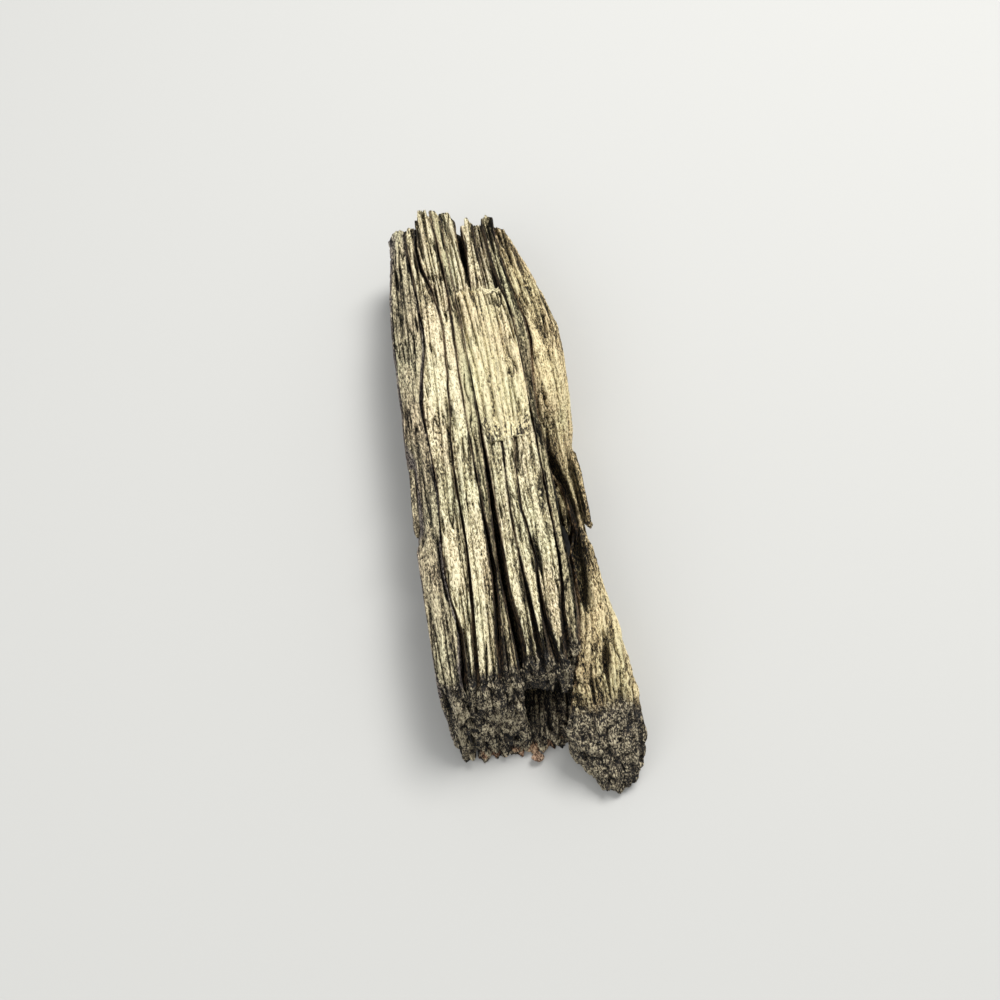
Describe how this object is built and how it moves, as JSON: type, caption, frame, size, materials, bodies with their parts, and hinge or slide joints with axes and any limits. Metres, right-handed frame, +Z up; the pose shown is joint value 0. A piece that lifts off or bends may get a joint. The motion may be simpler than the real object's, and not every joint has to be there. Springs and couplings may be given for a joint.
{
  "type": "charcoal stick",
  "caption": "Stick of charred, weathered wood split along its grain into staves, with a frayed far end and a burnt, sloping near end.",
  "frame": {"origin": "on the surface that the stick lies on, at the middle of its length and width", "axes": "+Y along the grain to the frayed far end, +X to the slab's side, +Z up"},
  "size_m": [0.0404, 0.1426, 0.0241],
  "materials": {
    "rib_outer_left": "weathered, olive tan, matt",
    "rib_left": "weathered, tan, matt",
    "rib_splinter": "weathered, olive tan, matt",
    "rib_centre_left": "weathered, tan, matt",
    "rib_centre": "weathered, tan, matt",
    "rib_centre_right": "weathered, tan, matt",
    "rib_right": "weathered, olive brown, matt",
    "crown_sheet": "bleached, pale tan, matt",
    "heart_left": "charred, brown black, granular",
    "heart_right": "charred black",
    "keel_left": "charred, brown black, granular",
    "keel_right": "charred, brown black",
    "flank_left": "weathered, purple grey, matt",
    "slab_right": "weathered brown, charred at the near end",
    "check_splinter": "weathered brown",
    "sliver_left": "weathered tan",
    "sliver_right": "weathered red brown",
    "near_crumb": "pinkish brown, crumbly"
  },
  "bodies": {
    "root": {"rib_outer_left": "rib_outer_left", "rib_left": "rib_left", "rib_splinter": "rib_splinter", "rib_centre_left": "rib_centre_left", "rib_centre": "rib_centre", "rib_centre_right": "rib_centre_right", "rib_right": "rib_right", "crown_sheet": "crown_sheet", "heart_left": "heart_left", "heart_right": "heart_right", "keel_left": "keel_left", "keel_right": "keel_right", "flank_left": "flank_left", "slab_right": "slab_right", "check_splinter": "check_splinter", "sliver_left": "sliver_left", "sliver_right": "sliver_right", "near_crumb": "near_crumb"}
  },
  "joints": []
}
